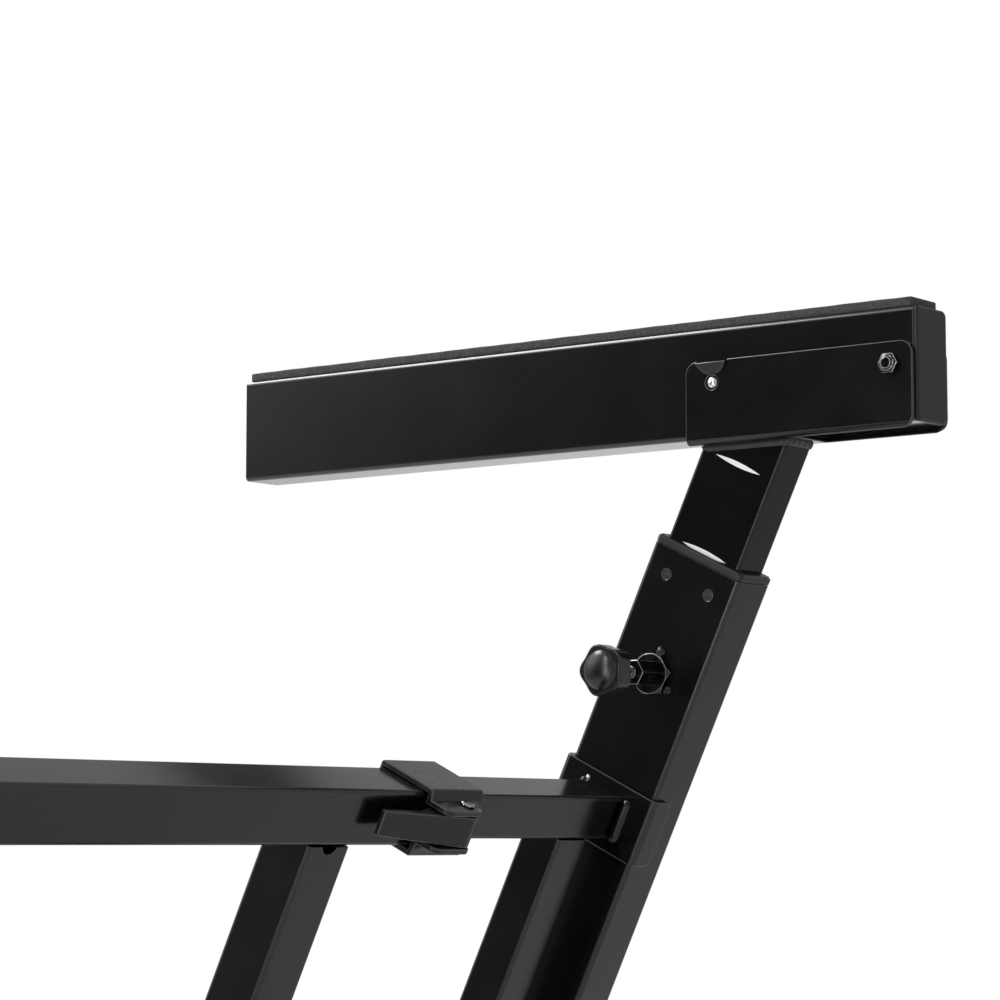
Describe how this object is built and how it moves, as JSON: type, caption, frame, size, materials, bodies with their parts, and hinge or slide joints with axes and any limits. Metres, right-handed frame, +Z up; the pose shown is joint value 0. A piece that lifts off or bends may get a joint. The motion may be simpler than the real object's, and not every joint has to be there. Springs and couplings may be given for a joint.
{
  "type": "keyboard stand",
  "caption": "Z-shaped folding keyboard stand: leaning square-tube posts with foam-topped arms on top, straight feet below, and telescoping crossbars with cam clamps.",
  "frame": {"origin": "on the floor, under the middle of the stand's box in width and depth", "axes": "+Z up, -Y to the player, +X to the player's right"},
  "size_m": [0.8492, 0.5006, 0.7108],
  "materials": {
    "frame_paint": "satin black powder coat",
    "arm_paint": "smooth semi-gloss black powder coat",
    "clamp_paint": "matte black coat",
    "black_plastic": "finely textured black plastic",
    "knob_plastic": "smooth black plastic",
    "black_rubber": "matte black rubber",
    "foam": "fine-grained black foam rubber",
    "black_steel": "black oxide, oiled",
    "bright_steel": "bright zinc plate"
  },
  "bodies": {
    "centre_frame": {"upper_outer_bar": "frame_paint", "lower_outer_bar": "frame_paint", "centre_strut_left": "frame_paint", "centre_strut_right": "frame_paint", "left_clamp_bracket": "clamp_paint", "right_clamp_bracket": "clamp_paint", "left_clamp_pin": "black_steel", "right_clamp_pin": "black_steel"},
    "left_side": {"left_foot_tube": "frame_paint", "left_foot_shoe_front": "black_rubber", "left_foot_shoe_rear": "black_rubber", "left_outer_post": "frame_paint", "left_post_collar": "black_plastic", "left_plunger_nut": "black_steel", "left_plunger_body": "black_steel", "left_upper_saddle": "frame_paint", "left_lower_saddle": "frame_paint", "left_upper_inner_bar": "frame_paint", "left_lower_inner_bar": "frame_paint", "left_side_strut": "frame_paint"},
    "left_post": {"left_inner_post": "frame_paint", "left_post_glide": "black_plastic", "left_arm_bracket": "frame_paint", "left_pivot_bolt": "black_steel", "left_pivot_nut": "black_steel"},
    "left_arm": {"left_arm_tube": "arm_paint", "left_arm_foam": "foam", "left_arm_plug_front": "black_plastic", "left_arm_plug_rear": "black_plastic"},
    "left_button": {"left_snap_button": "bright_steel"},
    "left_index": {"left_plunger_spring": "bright_steel", "left_index_pin": "bright_steel", "left_index_knob": "knob_plastic"},
    "left_lever": {"left_clamp_lever": "clamp_paint"},
    "right_side": {"right_foot_tube": "frame_paint", "right_foot_shoe_front": "black_rubber", "right_foot_shoe_rear": "black_rubber", "right_outer_post": "frame_paint", "right_post_collar": "black_plastic", "right_plunger_nut": "black_steel", "right_plunger_body": "black_steel", "right_upper_saddle": "frame_paint", "right_lower_saddle": "frame_paint", "right_upper_inner_bar": "frame_paint", "right_lower_inner_bar": "frame_paint", "right_side_strut": "frame_paint"},
    "right_post": {"right_inner_post": "frame_paint", "right_post_glide": "black_plastic", "right_arm_bracket": "frame_paint", "right_pivot_bolt": "black_steel", "right_pivot_nut": "black_steel"},
    "right_arm": {"right_arm_tube": "arm_paint", "right_arm_foam": "foam", "right_arm_plug_front": "black_plastic", "right_arm_plug_rear": "black_plastic"},
    "right_button": {"right_snap_button": "bright_steel"},
    "right_index": {"right_plunger_spring": "bright_steel", "right_index_pin": "bright_steel", "right_index_knob": "knob_plastic"},
    "right_lever": {"right_clamp_lever": "clamp_paint"}
  },
  "joints": [
    {"name": "left_width_slide", "type": "slide", "parent": "centre_frame", "child": "left_side", "axis": [-1, 0, 0], "range_m": [-0.08, 0.1]},
    {"name": "left_height_slide", "type": "slide", "parent": "left_side", "child": "left_post", "axis": [0, 0.4321, 0.9018], "range_m": [-0.0508, 0.254]},
    {"name": "left_arm_fold", "type": "hinge", "parent": "left_post", "child": "left_arm", "pos_m": [-0.402, 0.21874, 0.67547], "axis": [-1, 0, 0], "range_deg": [0, 115.6]},
    {"name": "left_button_press", "type": "slide", "parent": "left_arm", "child": "left_button", "axis": [-1, 0, 0], "range_m": [0, 0.005], "stiffness_N_per_m": 2000},
    {"name": "left_index_pull", "type": "slide", "parent": "left_side", "child": "left_index", "axis": [1, 0, 0], "range_m": [0, 0.008], "stiffness_N_per_m": 1500, "deforming": ["left_plunger_spring"]},
    {"name": "left_clamp_turn", "type": "hinge", "parent": "centre_frame", "child": "left_lever", "pos_m": [-0.231, 0.05598, 0.43688], "axis": [0, 0.4321, 0.9018], "range_deg": [0, 100]},
    {"name": "right_width_slide", "type": "slide", "parent": "centre_frame", "child": "right_side", "axis": [1, 0, 0], "range_m": [-0.08, 0.1]},
    {"name": "right_height_slide", "type": "slide", "parent": "right_side", "child": "right_post", "axis": [0, 0.4321, 0.9018], "range_m": [-0.0508, 0.254]},
    {"name": "right_arm_fold", "type": "hinge", "parent": "right_post", "child": "right_arm", "pos_m": [0.402, 0.21874, 0.67547], "axis": [-1, 0, 0], "range_deg": [0, 115.6]},
    {"name": "right_button_press", "type": "slide", "parent": "right_arm", "child": "right_button", "axis": [1, 0, 0], "range_m": [0, 0.005], "stiffness_N_per_m": 2000},
    {"name": "right_index_pull", "type": "slide", "parent": "right_side", "child": "right_index", "axis": [-1, 0, 0], "range_m": [0, 0.008], "stiffness_N_per_m": 1500, "deforming": ["right_plunger_spring"]},
    {"name": "right_clamp_turn", "type": "hinge", "parent": "centre_frame", "child": "right_lever", "pos_m": [0.231, 0.05598, 0.43688], "axis": [0, -0.4321, -0.9018], "range_deg": [0, 100]}
  ]
}
